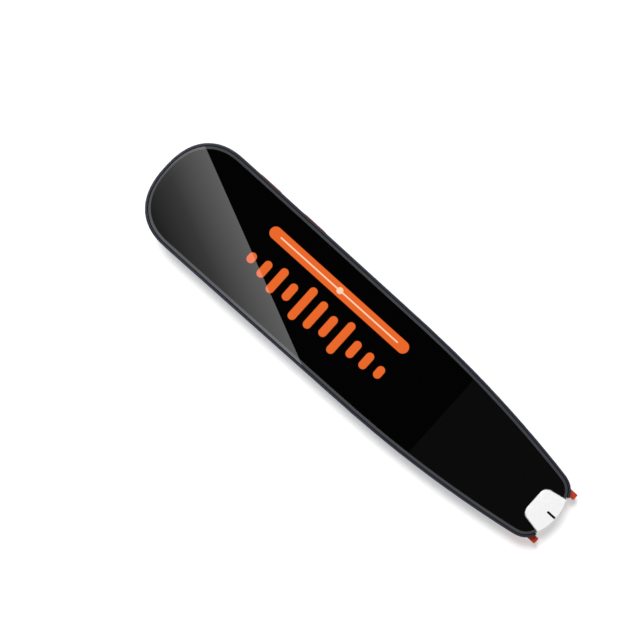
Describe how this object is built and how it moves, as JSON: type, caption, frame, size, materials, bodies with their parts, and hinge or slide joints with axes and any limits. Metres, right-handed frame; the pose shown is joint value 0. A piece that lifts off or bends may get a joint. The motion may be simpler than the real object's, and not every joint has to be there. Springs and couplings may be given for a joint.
{
  "type": "scanning pen",
  "caption": "Flat handheld text scanner with a full glass front, rounded back shell, round speaker grille, side buttons, scan window and press-to-scan legs at the tip.",
  "frame": {"origin": "middle of the flat back, half way between the end of the butt and the ends of the trigger's legs", "axes": "+X towards the butt, +Y to the side without buttons, +Z out of the glass front"},
  "size_m": [0.1518, 0.0343, 0.0127],
  "materials": {
    "shell_plastic": "satin navy moulded plastic",
    "cover_glass": "polished black-backed cover glass",
    "black_foam": "matt black foam tape and felt",
    "milky_plastic": "milky polycarbonate",
    "white_plastic": "white moulded plastic",
    "black_ink": "pad-printed black ink",
    "grey_ink": "pad-printed grey ink",
    "orange_plastic": "semi-gloss orange moulded plastic",
    "black_plastic": "matt black moulded plastic",
    "spring_steel": "drawn spring wire",
    "steel": "pressed steel",
    "magnesium": "die-cast, matt",
    "board_green": "solder mask over glass epoxy",
    "chip_black": "moulded epoxy",
    "display_black": "unlit display panel",
    "battery_silver": "foil pouch",
    "amber_film": "flexible printed film",
    "magnet_grey": "plated magnet",
    "cone_paper": "thin moulded film cone",
    "lens_glass": "coated lens",
    "lamp_yellow": "phosphor lamp package"
  },
  "bodies": {
    "housing": {"back_shell": "shell_plastic", "cover_glass": "cover_glass", "glass_gasket": "black_foam", "tip_window": "milky_plastic", "front_aiming_mark": "black_ink", "rear_aiming_mark": "grey_ink", "trigger_spring_left": "spring_steel", "trigger_spring_right": "spring_steel", "scan_switch": "chip_black", "scan_hood": "black_plastic", "camera_barrel": "black_plastic", "camera_lens": "lens_glass", "camera_board": "board_green", "camera_bracket": "magnesium", "camera_flex": "amber_film", "lamp_board": "board_green", "lamp_left": "lamp_yellow", "lamp_right": "lamp_yellow", "speaker_grille": "shell_plastic", "speaker_felt": "black_foam", "speaker_basket": "black_plastic", "speaker_magnet": "magnet_grey", "upper_switch": "chip_black", "lower_switch": "chip_black", "port_shell": "steel", "port_tongue": "black_plastic", "main_board": "board_green", "processor": "chip_black", "processor_shield": "steel", "memory_chip": "chip_black", "radio_module": "steel", "microphone": "steel", "chassis": "magnesium", "chassis_screw_1": "steel", "chassis_screw_2": "steel", "chassis_screw_3": "steel", "chassis_screw_4": "steel", "display_panel": "display_black", "display_tray": "steel", "display_flex": "amber_film", "flex_socket": "chip_black", "battery": "battery_silver", "battery_tape": "black_foam", "battery_lead": "amber_film"},
    "trigger": {"scan_trigger": "orange_plastic"},
    "trigger_plunger": {"scan_switch_plunger": "white_plastic"},
    "upper_key": {"upper_button": "orange_plastic"},
    "upper_key_plunger": {"upper_switch_plunger": "white_plastic"},
    "lower_key": {"lower_button": "orange_plastic"},
    "lower_key_plunger": {"lower_switch_plunger": "white_plastic"},
    "cone": {"speaker_cone": "cone_paper"}
  },
  "joints": [
    {"name": "scan_press", "type": "slide", "parent": "housing", "child": "trigger", "axis": [1, 0, 0], "range_m": [0, 0.0006], "stiffness_N_per_m": 1200, "deforming": ["trigger_spring_left", "trigger_spring_right"]},
    {"name": "scan_switch_travel", "type": "slide", "parent": "housing", "child": "trigger_plunger", "axis": [1, 0, 0], "range_m": [0, 0.0006]},
    {"name": "upper_button_press", "type": "slide", "parent": "housing", "child": "upper_key", "axis": [0, 1, 0], "range_m": [0, 0.0004], "stiffness_N_per_m": 3000},
    {"name": "upper_switch_travel", "type": "slide", "parent": "housing", "child": "upper_key_plunger", "axis": [0, 1, 0], "range_m": [0, 0.0004]},
    {"name": "lower_button_press", "type": "slide", "parent": "housing", "child": "lower_key", "axis": [0, 1, 0], "range_m": [0, 0.0004], "stiffness_N_per_m": 3000},
    {"name": "lower_switch_travel", "type": "slide", "parent": "housing", "child": "lower_key_plunger", "axis": [0, 1, 0], "range_m": [0, 0.0004]},
    {"name": "cone_travel", "type": "slide", "parent": "housing", "child": "cone", "axis": [0, 0, 1], "range_m": [-0.0002, 0.0002], "stiffness_N_per_m": 1500}
  ],
  "couplings": [
    {"joint": "scan_switch_travel", "follows": "scan_press", "ratio": 1},
    {"joint": "upper_switch_travel", "follows": "upper_button_press", "ratio": 1},
    {"joint": "lower_switch_travel", "follows": "lower_button_press", "ratio": 1}
  ]
}
